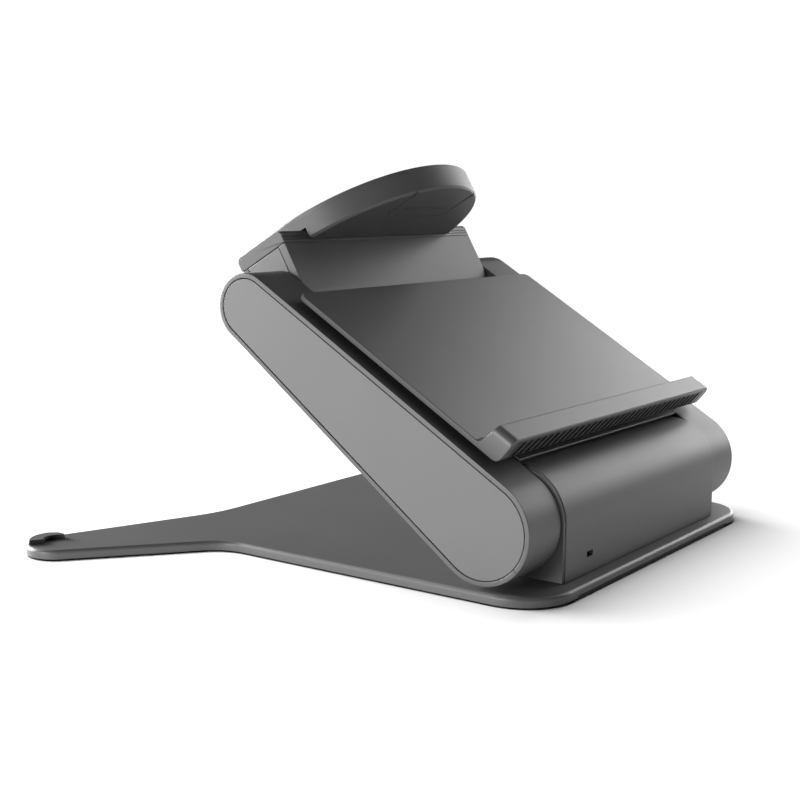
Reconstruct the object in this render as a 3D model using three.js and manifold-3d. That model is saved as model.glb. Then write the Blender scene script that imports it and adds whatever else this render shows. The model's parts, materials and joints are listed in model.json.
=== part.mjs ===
// Adjustable desk stand for a pen display: a flat steel base with two splayed front legs, a hinge
// housing, two tapered arms with a rear tray between them, and a round display head on a tilting
// neck. Millimetres, +Z up. The user sits on the -Y side, so +X is the stand's right-hand side. The
// origin is on the floor, under the middle of the footprint.
import * as THREE from "three";
import { mergeVertices } from "three/addons/utils/BufferGeometryUtils.js";
import Module from "manifold-3d";

const wasm = await Module();
wasm.setup();

// ---- driving dimensions ------------------------------------------------------------------------
const GAP = 0.3; // clearance between neighbouring pieces
const DEG = Math.PI / 180;

// Base: Y is measured from the lower hinge axis, Z from the floor.
const PLATE_TOP = 6.3;
const PLATE_BOTTOM = 0.8;
const PLATE_HALF = 137;
const PLATE_REAR = 39.5;
const PLATE_FRONT = -223.4;
const PLATE_EDGE = 1.5; // chamfer that stands for the rounded edge
const REAR_CORNER = 30;
const HIP_CORNER = 26;
const CROTCH_CORNER = 90;
const LEG_TIP = [199, -243];
const LEG_TIP_RADIUS = 18;
const LEG_FRONT_SPLAY = 19 * DEG;
const LEG_REAR_SPLAY = 38.4 * DEG;
const PAD_RADIUS = 9;
const PAD_HEIGHT = 1.9;
const STRIP_HALF = 99.5;
const LOWER_AXIS_Z = 36.9;
const HOUSING_RADIUS = 30.3;
const HOUSING_HALF = 97.2;
const HOUSING_WALL = 2.4;
const CHEEK = 2;
const LOCK_SLOT = { x: 69.7, z: 17, width: 7, height: 3.2 };
const BRACKET_X = 76;
const SCREW_Y = 13;

// Arms: the frame's origin is on the lower hinge axis and -Y runs up the arms' centre line.
const ARM_ANGLE = 33.7 * DEG;
const ARM_LENGTH = 190;
const ARM_LOWER_RADIUS = 29.2;
const ARM_UPPER_RADIUS = 19.5;
const ARM_INNER_X = 100.6;
const ARM_OUTER_X = 133.5;
const ARM_WALL = 2.7;
const SHELL_SEAM = -3; // the two shells meet just below the centre line
const TAPER = Math.asin((ARM_LOWER_RADIUS - ARM_UPPER_RADIUS) / ARM_LENGTH);
const LOWER_AXLE_RADIUS = 8;
const UPPER_AXLE_RADIUS = 6;

// Deck: as the arms' frame, but square to their top faces.
const TRAY_HALF = 125.5;
const TRAY_BOTTOM = ARM_LOWER_RADIUS + 2.45;
const TRAY_TOP = TRAY_BOTTOM + 3;
const TRAY_UPPER_END = -166.3;
const LIP_TOP = 48.1;
const LIP_REAR = -12;
const LIP_FRONT = -25;
const VENT_HALF = 119;
const VENT_COUNT = 32;
const VENT_LEAN = -4; // how far a slot's top stands over its foot along X
const VENT_BORDER = 1.1;

// Head: origin on the upper hinge axis, +Y up the display's slope, +Z out of the display's back.
const HEAD_TILT = 30.15 * DEG;
const NECK_DEPTH = 18.8;
const NECK_WALL = 5.2;
const NECK_TOP = 30;
const NECK_HALF = 99.9;
const CROSSBAR_TOP = 39;
const DISC_RADIUS = 77;
const DISC_Y = 4.1;
const DISC_BACK = 32;
const DISC_FRONT = 48.2;
const DISC_FLOOR = 41.4;
const FACE_THICKNESS = 2.6;
const DISPLAY_SCREW_PITCH = 100;
const LEVER_HALF = 32;
const LEVER_FOOT = 41; // up the slope from the disc's centre
const LEVER_PIN = { y: DISC_Y + 47, z: 34.2, radius: 1.2 };

// ---- shape helpers -----------------------------------------------------------------------------
const FACET = 0.2; // how far a flat facet may lie inside the true round

/** Points along an arc that turns by sweep. */
function arc(x, y, radius, from, sweep) {
  const step = 2 * Math.acos(1 - FACET / radius);
  const steps = Math.max(2, Math.ceil(Math.abs(sweep) / step));
  return Array.from({ length: steps + 1 }, (_, i) => {
    const angle = from + (sweep * i) / steps;
    return new THREE.Vector2(x + radius * Math.cos(angle), y + radius * Math.sin(angle));
  });
}

/** Closed outline through [x, y, radius] corners, each rounded by its own arc. */
function outline(corners) {
  const points = corners.flatMap(([x, y, radius = 0], i) => {
    const corner = new THREE.Vector2(x, y);
    if (radius === 0) {
      return [corner];
    }
    const before = corners.at(i - 1);
    const after = corners[(i + 1) % corners.length];
    const back = new THREE.Vector2(before[0] - x, before[1] - y).normalize();
    const ahead = new THREE.Vector2(after[0] - x, after[1] - y).normalize();
    const half = Math.acos(back.dot(ahead)) / 2;
    const start = corner.clone().addScaledVector(back, radius / Math.tan(half));
    const middle = back.clone().add(ahead).normalize();
    const centre = corner.clone().addScaledVector(middle, radius / Math.sin(half));
    const turn = back.cross(ahead) > 0 ? -1 : 1;
    return arc(centre.x, centre.y, radius, start.sub(centre).angle(), turn * (Math.PI - 2 * half));
  });
  return new THREE.Shape(points);
}

/** Outline of an arm: the large round end at the origin, the small one up along -x. */
function armOutline(inset) {
  const touch = Math.PI / 2 + TAPER;
  return new THREE.Shape([
    ...arc(0, 0, ARM_LOWER_RADIUS - inset, -touch, 2 * touch),
    ...arc(-ARM_LENGTH, 0, ARM_UPPER_RADIUS - inset, touch, 2 * (Math.PI - touch)),
  ]);
}

/** Outline with straight sides from reach to the origin's level, closed there by a half circle. */
function archOutline(radius, reach) {
  const foot = [new THREE.Vector2(-radius, reach), new THREE.Vector2(radius, reach)];
  return new THREE.Shape([...foot, ...arc(0, 0, radius, 0, -Math.sign(reach) * Math.PI)]);
}

const PUSH = {
  x: new THREE.Matrix4().makeBasis(
    new THREE.Vector3(0, 1, 0), new THREE.Vector3(0, 0, 1), new THREE.Vector3(1, 0, 0)),
  z: new THREE.Matrix4(),
};

/** Outline pushed along z, or along x with its own x, y becoming Y, Z. */
function extrude(shape, along, from, to, chamfer = 0) {
  const geometry = new THREE.ExtrudeGeometry(shape, {
    depth: to - from - 2 * chamfer,
    bevelEnabled: chamfer > 0,
    bevelThickness: chamfer,
    bevelSize: chamfer,
    bevelOffset: -chamfer,
    bevelSegments: 1,
  });
  return geometry.translate(0, 0, from + chamfer).applyMatrix4(PUSH[along]);
}

/** Block between two values on each axis. */
function block([x0, x1], [y0, y1], [z0, z1]) {
  const geometry = new THREE.BoxGeometry(x1 - x0, y1 - y0, z1 - z0);
  return geometry.translate((x0 + x1) / 2, (y0 + y1) / 2, (z0 + z1) / 2);
}

/** Round bar along X, its axis at (y, z). */
function barX(radius, [x0, x1], y = 0, z = 0, sides = 24) {
  const bar = new THREE.CylinderGeometry(radius, radius, x1 - x0, sides);
  return bar.rotateZ(-Math.PI / 2).translate((x0 + x1) / 2, y, z);
}

/** Round bar along Z, its axis at (x, y). */
function barZ(radius, [z0, z1], x = 0, y = 0, sides = 24) {
  const bar = new THREE.CylinderGeometry(radius, radius, z1 - z0, sides);
  return bar.rotateX(Math.PI / 2).translate(x, y, (z0 + z1) / 2);
}

/** Piece turned about Z from a closed profile of [radius, z] points. */
function turned(profile, sides = 32) {
  const points = [...profile, profile[0]].map(([radius, z]) => new THREE.Vector2(radius, z));
  return new THREE.LatheGeometry(points, sides).rotateX(Math.PI / 2);
}

/** Ring about the X axis. */
function ringX(inner, outer, [x0, x1], sides = 24) {
  const profile = [[inner, x0], [outer, x0], [outer, x1], [inner, x1]];
  return turned(profile, sides).rotateY(Math.PI / 2);
}

function toSolid(geometry) {
  const bare = geometry.clone();
  bare.deleteAttribute("normal");
  bare.deleteAttribute("uv");
  const merged = mergeVertices(bare, 1e-4);
  const mesh = new wasm.Mesh({
    numProp: 3,
    vertProperties: new Float32Array(merged.attributes.position.array),
    triVerts: new Uint32Array(merged.index.array),
  });
  return new wasm.Manifold(mesh);
}

function toGeometry(solid) {
  const mesh = solid.getMesh();
  const geometry = new THREE.BufferGeometry();
  geometry.setAttribute("position", new THREE.BufferAttribute(mesh.vertProperties, 3));
  geometry.setIndex(new THREE.BufferAttribute(mesh.triVerts, 1));
  return geometry;
}

function cut(geometry, ...cutters) {
  return toGeometry(cutters.reduce((body, cutter) => body.subtract(toSolid(cutter)), toSolid(geometry)));
}

function join(...geometries) {
  return toGeometry(geometries.map(toSolid).reduce((whole, next) => whole.add(next)));
}

function common(...geometries) {
  return toGeometry(geometries.map(toSolid).reduce((whole, next) => whole.intersect(next)));
}

/** The same piece on the other side of the YZ plane. */
function mirrored(geometry) {
  const copy = toGeometry(toSolid(geometry)).scale(-1, 1, 1);
  const index = copy.index.array;
  for (let i = 0; i < index.length; i += 3) {
    [index[i + 1], index[i + 2]] = [index[i + 2], index[i + 1]];
  }
  return copy;
}

// ---- materials ---------------------------------------------------------------------------------
function finish(color, roughness, metalness) {
  return () => new THREE.MeshStandardMaterial({ color, roughness, metalness });
}

const satinPaint = finish(0x4a4a4c, 0.45, 0.2);
const satinPlastic = finish(0x444446, 0.5, 0);
const blackPlastic = finish(0x1a1a1b, 0.6, 0);
const rubber = finish(0x17171a, 0.9, 0);
const steel = finish(0x9a9a9c, 0.35, 1);
const castAlloy = finish(0x8c8d90, 0.5, 1);
const bronze = finish(0xa07a45, 0.45, 1);

// ---- frames ------------------------------------------------------------------------------------
const footprintMiddle = (PLATE_REAR + LEG_TIP[1] - LEG_TIP_RADIUS) / 2;

const stand = new THREE.Group();
const base = new THREE.Group();
base.position.set(0, -footprintMiddle, 0);
const arms = new THREE.Group();
arms.position.set(0, -footprintMiddle, LOWER_AXIS_Z);
arms.rotation.x = -ARM_ANGLE;
const deck = new THREE.Group();
deck.rotation.x = TAPER;
const belly = new THREE.Group();
belly.rotation.x = -TAPER;
arms.add(deck, belly);
const head = new THREE.Group();
head.position.set(
  0,
  -footprintMiddle - ARM_LENGTH * Math.cos(ARM_ANGLE),
  LOWER_AXIS_Z + ARM_LENGTH * Math.sin(ARM_ANGLE));
head.rotation.x = HEAD_TILT;
stand.add(base, arms, head);

function place(group, name, geometry, material) {
  const mesh = new THREE.Mesh(geometry, material());
  mesh.name = name;
  group.add(mesh);
}

/** Places a piece modelled on the +X side, and its mirror image on the left. */
function placePair(group, name, geometry, material) {
  place(group, `${name}_right`, geometry, material);
  place(group, `${name}_left`, mirrored(geometry), material);
}

// ---- base plate and feet -----------------------------------------------------------------------
const frontTouch = -Math.PI / 2 - LEG_FRONT_SPLAY; // where the leg's edges meet its round tip
const rearTouch = Math.PI / 2 - LEG_REAR_SPLAY;

function aroundTip(angle, reach) {
  return [LEG_TIP[0] + reach * Math.cos(angle), LEG_TIP[1] + reach * Math.sin(angle)];
}

function basePlateOutline() {
  const tip = arc(...LEG_TIP, LEG_TIP_RADIUS, frontTouch, rearTouch - frontTouch).map(({ x, y }) => [x, y]);
  const [frontX, frontY] = tip[0];
  const [rearX, rearY] = tip.at(-1);
  const crotchX = frontX - (PLATE_FRONT - frontY) / Math.tan(LEG_FRONT_SPLAY);
  const hipY = rearY + (rearX - PLATE_HALF) * Math.tan(LEG_REAR_SPLAY);
  const right = [
    [crotchX, PLATE_FRONT, CROTCH_CORNER],
    ...tip,
    [PLATE_HALF, hipY, HIP_CORNER],
    [PLATE_HALF, PLATE_REAR, REAR_CORNER],
  ];
  const left = right.map(([x, y, radius]) => [-x, y, radius]).reverse();
  return outline([...right, ...left]);
}

const screwSpots = [-1, 1].flatMap((side) => [-1, 1].map((end) => [side * (BRACKET_X - 10), end * SCREW_Y]));
const padSpots = { leg_foot: LEG_TIP, front_foot: [104, -205] };
const stripSpan = [28, PLATE_REAR - GAP];

const padRecesses = Object.values(padSpots).flatMap(([x, y]) => (
  [-x, x].map((side) => barZ(PAD_RADIUS + GAP, [0, PAD_HEIGHT + GAP], side, y))));
const stripRecess = block([-STRIP_HALF - GAP, STRIP_HALF + GAP], [stripSpan[0] - GAP, 50], [0, PAD_HEIGHT + GAP]);
const screwHoles = screwSpots.map(([x, y]) => barZ(2 + GAP, [0, 20], x, y, 16));

place(base, "base_plate",
  cut(extrude(basePlateOutline(), "z", PLATE_BOTTOM, PLATE_TOP, PLATE_EDGE),
    stripRecess, ...padRecesses, ...screwHoles),
  satinPaint);
place(base, "rear_foot_strip", block([-STRIP_HALF, STRIP_HALF], stripSpan, [0, PAD_HEIGHT]), rubber);
for (const [name, [x, y]] of Object.entries(padSpots)) {
  placePair(base, name, barZ(PAD_RADIUS, [0, PAD_HEIGHT], x, y), rubber);
}

/** Raised crescent on the leg's tip, blunt at its outer end and tapered at its inner one. */
function bumperOutline() {
  const [inner, outer] = [8, 16.4];
  const [blunt, shoulder, taper] = [-31 * DEG, -112 * DEG, -158 * DEG];
  return new THREE.Shape([
    ...arc(...LEG_TIP, inner, taper, blunt - taper),
    ...arc(...LEG_TIP, outer, blunt, shoulder - blunt),
    new THREE.Vector2(...aroundTip(-132 * DEG, 14.6)),
    new THREE.Vector2(...aroundTip(-148 * DEG, 11.6)),
  ]);
}

placePair(base, "leg_bumper",
  extrude(bumperOutline(), "z", PLATE_TOP + GAP, PLATE_TOP + 2.6, 0.6), rubber);

// ---- hinge housing -----------------------------------------------------------------------------
const housingFoot = PLATE_TOP + GAP - LOWER_AXIS_Z; // from the hinge axis down to the plate

function inBase(geometry) {
  return geometry.translate(0, 0, LOWER_AXIS_Z);
}

function lockSlotCutter(y0, y1) {
  const { x, z, width, height } = LOCK_SLOT;
  return block([x - width / 2, x + width / 2], [y0, y1], [z - height / 2, z + height / 2]);
}

place(base, "hinge_housing",
  cut(inBase(extrude(archOutline(HOUSING_RADIUS, housingFoot), "x", -HOUSING_HALF, HOUSING_HALF)),
    inBase(extrude(archOutline(HOUSING_RADIUS - HOUSING_WALL, housingFoot - 1), "x",
      -HOUSING_HALF - 1, HOUSING_HALF + 1)),
    lockSlotCutter(20, 40)),
  satinPlastic);
place(base, "lock_slot_plate",
  cut(block([59, 81], [25, HOUSING_RADIUS - HOUSING_WALL - GAP], [11, 23]), lockSlotCutter(20, 40)), steel);
placePair(base, "housing_cheek",
  inBase(cut(extrude(archOutline(HOUSING_RADIUS - 0.4, housingFoot), "x",
    HOUSING_HALF + GAP, HOUSING_HALF + GAP + CHEEK, 0.4),
  barX(LOWER_AXLE_RADIUS + GAP, [90, 110]))),
  satinPlastic);

function hingeBracket() {
  const foot = PLATE_TOP + GAP - LOWER_AXIS_Z;
  const web = outline([[-20, foot], [20, foot], [15, 15, 12], [-15, 15, 12]]);
  const flange = block([BRACKET_X - 17, BRACKET_X], [-20, 20], [foot, foot + 4]);
  const bore = barX(11 + GAP, [BRACKET_X - 10, BRACKET_X + 10]);
  const holes = [-SCREW_Y, SCREW_Y].map((y) => barZ(2 + GAP, [foot - 5, foot + 10], BRACKET_X - 10, y, 16));
  return inBase(cut(join(extrude(web, "x", BRACKET_X - 2.5, BRACKET_X + 2.5), flange), bore, ...holes));
}

placePair(base, "hinge_bracket", hingeBracket(), steel);
placePair(base, "bracket_bush",
  inBase(ringX(LOWER_AXLE_RADIUS + GAP, 11, [BRACKET_X - 3, BRACKET_X + 3])), bronze);

screwSpots.forEach(([x, y], i) => {
  const seat = PLATE_TOP + GAP + 4;
  const profile = [[0, PLATE_BOTTOM + 0.7], [2, PLATE_BOTTOM + 0.7], [2, seat + GAP], [4, seat + GAP],
    [4, seat + 2.4], [3.4, seat + 3], [0, seat + 3]];
  place(base, `bracket_screw_${i + 1}`, turned(profile, 16).translate(x, y, 0), steel);
});

/** Wire wound round the X axis. */
class Coil extends THREE.Curve {
  constructor(radius, [x0, x1], turns) {
    super();
    Object.assign(this, { radius, x0, x1, turns });
  }

  getPoint(t, target = new THREE.Vector3()) {
    const angle = 2 * Math.PI * this.turns * t;
    const x = this.x0 + (this.x1 - this.x0) * t;
    return target.set(x, this.radius * Math.cos(angle), this.radius * Math.sin(angle));
  }
}

function torsionSpring() {
  const wire = new THREE.Shape().absarc(0, 0, 1.3, 0, 2 * Math.PI);
  const path = new Coil(12, [24, 50], 5);
  return new THREE.ExtrudeGeometry(wire, { steps: 55, curveSegments: 3, extrudePath: path, bevelEnabled: false });
}

placePair(base, "torsion_spring", inBase(torsionSpring()), steel);

// ---- arms --------------------------------------------------------------------------------------
const upperEnd = -ARM_LENGTH;
const axleHoles = [
  barX(LOWER_AXLE_RADIUS + GAP, [90, 127]),
  barX(UPPER_AXLE_RADIUS + GAP, [90, 127], upperEnd),
];

/** Half of an arm's shell: rim and inner wall, above or below the seam. */
function armShell(side) {
  const outer = extrude(armOutline(0), "x", ARM_INNER_X, ARM_OUTER_X, 0.6);
  const hollow = extrude(armOutline(ARM_WALL), "x", ARM_INNER_X + 2.4, ARM_OUTER_X + 1);
  const edge = SHELL_SEAM + (side * GAP) / 2;
  const keep = block([90, 140], [upperEnd - 40, 60], side > 0 ? [edge, 60] : [-60, edge]);
  return common(cut(outer, hollow, ...axleHoles), keep);
}

function armBeam() {
  const bar = extrude(armOutline(7.5), "x", ARM_INNER_X + 3.5, 125);
  const lightening = [-52, -84, -114, -142].map((y) => barX(8.5 + y / 60, [90, 140], y, 0, 20));
  return cut(bar, ...axleHoles, ...lightening);
}

placePair(arms, "arm_shell_upper", armShell(1), satinPlastic);
placePair(arms, "arm_shell_lower", armShell(-1), satinPlastic);
placePair(arms, "arm_beam", armBeam(), castAlloy);
placePair(arms, "arm_cover",
  extrude(armOutline(ARM_WALL + GAP), "x", ARM_OUTER_X - 4.2, ARM_OUTER_X - 0.1, 0.4),
  satinPlastic);

place(arms, "lower_axle", barX(LOWER_AXLE_RADIUS, [-128.6, 128.6]), steel);
place(arms, "upper_axle", barX(UPPER_AXLE_RADIUS, [-124, 124], upperEnd), steel);
placePair(arms, "axle_nut",
  cut(barX(12.5, [125 + GAP, 128.6], 0, 0, 6), barX(LOWER_AXLE_RADIUS + GAP, [120, 130])), steel);
placePair(arms, "spring_collar", ringX(LOWER_AXLE_RADIUS + GAP, 14, [53, 61]), castAlloy);
place(arms, "bridge_tube",
  ringX(7.5, 9, [-ARM_INNER_X + GAP, ARM_INNER_X - GAP]).translate(0, -98, 0), steel);
place(deck, "bridge_top_panel",
  block([-99, 99], [-152, -14.5], [ARM_LOWER_RADIUS - 1.8, ARM_LOWER_RADIUS]), satinPaint);
place(belly, "bridge_bottom_panel",
  block([-99, 99], [-164, -42], [-ARM_LOWER_RADIUS, 1.8 - ARM_LOWER_RADIUS]), satinPaint);

// ---- rear tray ---------------------------------------------------------------------------------
const ventSpan = [TRAY_BOTTOM + 1.8, LIP_TOP - 2.4];
const trayProfile = outline([
  [TRAY_UPPER_END, TRAY_BOTTOM],
  [LIP_REAR - 2, TRAY_BOTTOM, 4.5],
  [LIP_REAR, LIP_TOP, 1.2],
  [LIP_FRONT, LIP_TOP, 1],
  [LIP_FRONT - 3.6, TRAY_TOP, 4],
  [TRAY_UPPER_END, TRAY_TOP],
]);

/** Tray sheet and the hollow bar along its lower end, as one folded piece. */
function rearTray() {
  const plan = outline([
    [TRAY_HALF, 10],
    [-TRAY_HALF, 10],
    [-TRAY_HALF, TRAY_UPPER_END, 5],
    [TRAY_HALF, TRAY_UPPER_END, 5],
  ]);
  const ends = outline([
    [TRAY_HALF, 20],
    [TRAY_HALF, LIP_TOP, 4.6],
    [-TRAY_HALF, LIP_TOP, 4.6],
    [-TRAY_HALF, 20],
  ]);
  const lengthwise = extrude(ends, "z", -10, 200).rotateX(Math.PI / 2);
  const ventChannel = block([-VENT_HALF, VENT_HALF], [LIP_FRONT + 3, 0], ventSpan);
  return cut(
    common(
      extrude(trayProfile, "x", -TRAY_HALF - 5, TRAY_HALF + 5),
      extrude(plan, "z", 20, 60),
      lengthwise),
    ventChannel);
}

/** Insert that fills the lip's open side flush with it, cut by a row of slanted slots. */
function lipGrille() {
  const [low, high] = [ventSpan[0] + GAP, ventSpan[1] - GAP];
  const pitch = (2 * VENT_HALF - 4) / VENT_COUNT;
  const slotHeight = high - low - 2 * VENT_BORDER;
  const [wide, lean] = [0.28 * pitch, VENT_LEAN / 2];
  const slot = outline([
    [-wide - lean, 0],
    [wide - lean, 0],
    [wide + lean, slotHeight],
    [-wide + lean, slotHeight],
  ]);
  const slots = Array.from({ length: VENT_COUNT }, (_, i) => {
    const x = (i - (VENT_COUNT - 1) / 2) * pitch * 0.985;
    return extrude(slot, "z", -4, 4).rotateX(Math.PI / 2).translate(x, LIP_REAR - 2, low + VENT_BORDER);
  });
  const insert = block([-VENT_HALF + GAP, VENT_HALF - GAP], [LIP_REAR - 4, LIP_REAR + 1], [low, high]);
  const flush = extrude(trayProfile, "x", -VENT_HALF, VENT_HALF).translate(0, -0.15, 0);
  return cut(common(insert, flush), ...slots);
}

place(deck, "rear_tray", rearTray(), satinPaint);
place(deck, "lip_grille", lipGrille(), blackPlastic);
[[-70, -58], [70, -58], [-70, -132], [70, -132]].forEach(([x, y], i) => {
  const spacer = barZ(5, [ARM_LOWER_RADIUS + GAP, TRAY_BOTTOM - GAP], x, y, 16);
  place(deck, `tray_spacer_${i + 1}`, spacer, blackPlastic);
});

// ---- neck --------------------------------------------------------------------------------------
const neckBore = barX(UPPER_AXLE_RADIUS + GAP, [-110, 110]);
const coreDepth = NECK_DEPTH - NECK_WALL - GAP;
const CORE_HALF = 88;
const PANEL = 2.2;
const pushrodHole = barZ(2.2 + GAP, [0, 44]);

function neckCover(side) {
  const whole = cut(
    extrude(archOutline(NECK_DEPTH, NECK_TOP), "x", -NECK_HALF, NECK_HALF),
    extrude(archOutline(NECK_DEPTH - NECK_WALL, NECK_TOP + 1), "x", -NECK_HALF - 1, NECK_HALF + 1));
  const half = side > 0 ? [GAP / 2, 30] : [-30, -GAP / 2];
  return common(whole, block([-110, 110], half, [-30, 60]));
}

place(head, "neck_core",
  cut(extrude(archOutline(coreDepth, NECK_TOP - GAP), "x", -CORE_HALF, CORE_HALF), neckBore, pushrodHole),
  castAlloy);
place(head, "neck_rear_cover", neckCover(1), satinPlastic);
place(head, "neck_front_cover", neckCover(-1), satinPlastic);
placePair(head, "neck_side_panel",
  cut(extrude(archOutline(coreDepth, NECK_TOP), "x", NECK_HALF - PANEL, NECK_HALF), neckBore), satinPlastic);
placePair(head, "tilt_friction_pack",
  ringX(UPPER_AXLE_RADIUS + GAP, 12, [CORE_HALF + GAP, NECK_HALF - PANEL - GAP]), steel);

// ---- display head ------------------------------------------------------------------------------
const crossbarHalfDepth = 19;
const floorHole = barZ(2.2 + GAP, [25, 50]);

place(head, "head_crossbar",
  cut(extrude(outline([
    [-crossbarHalfDepth, NECK_TOP + GAP, 1.5],
    [crossbarHalfDepth, NECK_TOP + GAP],
    [crossbarHalfDepth, CROSSBAR_TOP, 4],
    [-crossbarHalfDepth, CROSSBAR_TOP, 3],
  ]), "x", -NECK_HALF, NECK_HALF), floorHole),
  satinPaint);

/** Prism over the lever's place in the disc, a little smaller or larger by inset. */
function leverPrism(inset, z0, z1) {
  const half = LEVER_HALF - inset;
  const foot = DISC_Y + LEVER_FOOT + inset;
  return extrude(outline([[-half, foot, 6], [half, foot, 6], [half, 100], [-half, 100]]), "z", z0, z1);
}

function onDisc(geometry) {
  return geometry.translate(0, DISC_Y, 0);
}

const faceBack = DISC_FRONT - FACE_THICKNESS;
const screwPitches = [-1, 1].map((side) => (side * DISPLAY_SCREW_PITCH) / 2);
const displayScrews = screwPitches.flatMap((x) => screwPitches.map((y) => [x, y]));
const screwBores = displayScrews.map(([x, y]) => barZ(2.1, [43, 60], x, y + DISC_Y, 16));
const pinHole = barX(LEVER_PIN.radius + GAP, [-36, 36], LEVER_PIN.y, LEVER_PIN.z, 16);

/** Round dish behind the display, with four bosses for the display's screws. */
function discShell() {
  const rim = faceBack - GAP;
  const dish = turned([[0, DISC_BACK], [DISC_RADIUS - 1.4, DISC_BACK], [DISC_RADIUS, DISC_BACK + 1.4],
    [DISC_RADIUS, rim], [DISC_RADIUS - 4, rim], [DISC_RADIUS - 4, DISC_FLOOR], [0, DISC_FLOOR]], 60);
  const bosses = displayScrews.map(([x, y]) => barZ(4.6, [DISC_FLOOR - 1, rim], x, y, 20));
  const crossbarWay = block([-90, 90], [-crossbarHalfDepth - GAP, crossbarHalfDepth + GAP], [20, CROSSBAR_TOP + GAP]);
  const hull = common(join(onDisc(dish), ...bosses.map(onDisc)), onDisc(barZ(DISC_RADIUS, [0, 60], 0, 0, 60)));
  return cut(hull, crossbarWay, leverPrism(0, 20, 60), floorHole, ...screwBores, pinHole);
}

function facePlate() {
  const plate = turned([[0, faceBack], [DISC_RADIUS - 0.2, faceBack], [DISC_RADIUS - 0.2, DISC_FRONT - 0.8],
    [DISC_RADIUS - 1, DISC_FRONT], [0, DISC_FRONT]], 60);
  const leverNotch = block([-LEVER_HALF, LEVER_HALF], [DISC_Y + 64 - GAP, 90], [40, 60]);
  return cut(onDisc(plate), leverNotch, ...screwBores);
}

/** Rear-facing segment of the disc's rim that swings back on its pin. */
function releaseLever() {
  const segment = turned([[0, DISC_BACK], [DISC_RADIUS - 1.4, DISC_BACK], [DISC_RADIUS, DISC_BACK + 1.4],
    [DISC_RADIUS, DISC_FRONT - 0.8], [DISC_RADIUS - 0.8, DISC_FRONT], [0, DISC_FRONT]], 60);
  const underFace = block([-50, 50], [0, DISC_Y + 64], [faceBack - 1, 60]);
  const gripGroove = onDisc(block([-22.5, 19.5], [50.2, 51.4], [30, DISC_BACK + 0.8]));
  return cut(common(onDisc(segment), leverPrism(GAP, 20, 60)), underFace, gripGroove, pinHole);
}

place(head, "disc_shell", discShell(), satinPlastic);
place(head, "disc_face_plate", facePlate(), satinPaint);
place(head, "release_lever", releaseLever(), satinPlastic);
place(head, "lever_pin", barX(LEVER_PIN.radius, [-35.7, 35.7], LEVER_PIN.y, LEVER_PIN.z, 16), steel);
place(head, "lever_leaf_spring",
  block([-9, 9], [20, DISC_Y + LEVER_FOOT - GAP], [faceBack - 0.8, faceBack - GAP]), steel);
place(head, "release_slider", block([-4, 4], [-5, DISC_Y + LEVER_FOOT - 1], [42.3, 44.2]), steel);
place(head, "brake_pushrod", barZ(2.2, [UPPER_AXLE_RADIUS + GAP, 42], 0, 0, 16), steel);

export default stand;
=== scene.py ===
import json
import math

import bmesh
import bpy
from mathutils import Matrix, Vector


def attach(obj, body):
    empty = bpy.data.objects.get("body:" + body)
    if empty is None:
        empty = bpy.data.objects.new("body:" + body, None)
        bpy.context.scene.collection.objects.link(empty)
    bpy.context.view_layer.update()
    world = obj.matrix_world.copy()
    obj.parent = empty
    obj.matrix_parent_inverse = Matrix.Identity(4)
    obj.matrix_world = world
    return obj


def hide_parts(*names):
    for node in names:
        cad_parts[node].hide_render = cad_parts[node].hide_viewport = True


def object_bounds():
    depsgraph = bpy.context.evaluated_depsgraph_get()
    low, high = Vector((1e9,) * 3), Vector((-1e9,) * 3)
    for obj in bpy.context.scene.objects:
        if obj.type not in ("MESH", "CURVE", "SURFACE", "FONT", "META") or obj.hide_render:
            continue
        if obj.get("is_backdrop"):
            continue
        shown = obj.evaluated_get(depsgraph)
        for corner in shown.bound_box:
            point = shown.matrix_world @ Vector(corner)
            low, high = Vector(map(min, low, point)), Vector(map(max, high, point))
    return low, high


# An adjustable desk stand for a pen display: base plate on rubber feet, hinge housing, two tapered
# arms with a tray between them, a tilting neck and a round head with a release lever.
# Shapes are drawn in millimetres on a bench, which is a local frame, and placed in metres.

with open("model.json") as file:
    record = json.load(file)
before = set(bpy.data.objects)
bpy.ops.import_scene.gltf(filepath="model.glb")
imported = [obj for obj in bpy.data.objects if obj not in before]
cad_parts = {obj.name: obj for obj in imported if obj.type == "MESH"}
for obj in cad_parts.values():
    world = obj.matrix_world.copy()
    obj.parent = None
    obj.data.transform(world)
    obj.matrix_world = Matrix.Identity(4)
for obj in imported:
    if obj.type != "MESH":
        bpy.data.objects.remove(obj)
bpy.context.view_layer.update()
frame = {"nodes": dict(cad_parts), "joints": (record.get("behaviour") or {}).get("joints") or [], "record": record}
MM = 0.001


# ---- benches -------------------------------------------------------------------------------------
class Bench:
    """A drawing frame in millimetres: origin on a hinge or under it, turned about the X axis."""

    def __init__(self, origin, slope=0.0):
        turn = Matrix.Rotation(slope, 4, "X")
        self.matrix = Matrix.Translation(origin) @ turn @ Matrix.Scale(MM, 4)

    def span(self, node):
        """Lowest and highest corner of a CAD node as this bench sees it."""
        back = self.matrix.inverted()
        points = [back @ vertex.co for vertex in frame["nodes"][node].data.vertices]
        low = Vector(min(point[i] for point in points) for i in range(3))
        high = Vector(max(point[i] for point in points) for i in range(3))
        return low, high


joints = {joint["name"]: Vector(joint["pos_m"]) for joint in frame["joints"]}
mounts = {mount["name"]: Vector(mount["axis"]) for mount in frame["record"]["mounts"]}
lower_hinge = joints["arm_lift"]
upper_hinge = joints["head_tilt"]
rise = upper_hinge - lower_hinge
arm_slope = math.atan2(rise.z, -rise.y)
deck_slope = math.atan2(mounts["tray_floor"].y, mounts["tray_floor"].z)
head_tilt = math.atan2(-mounts["display_face"].y, mounts["display_face"].z)

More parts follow.
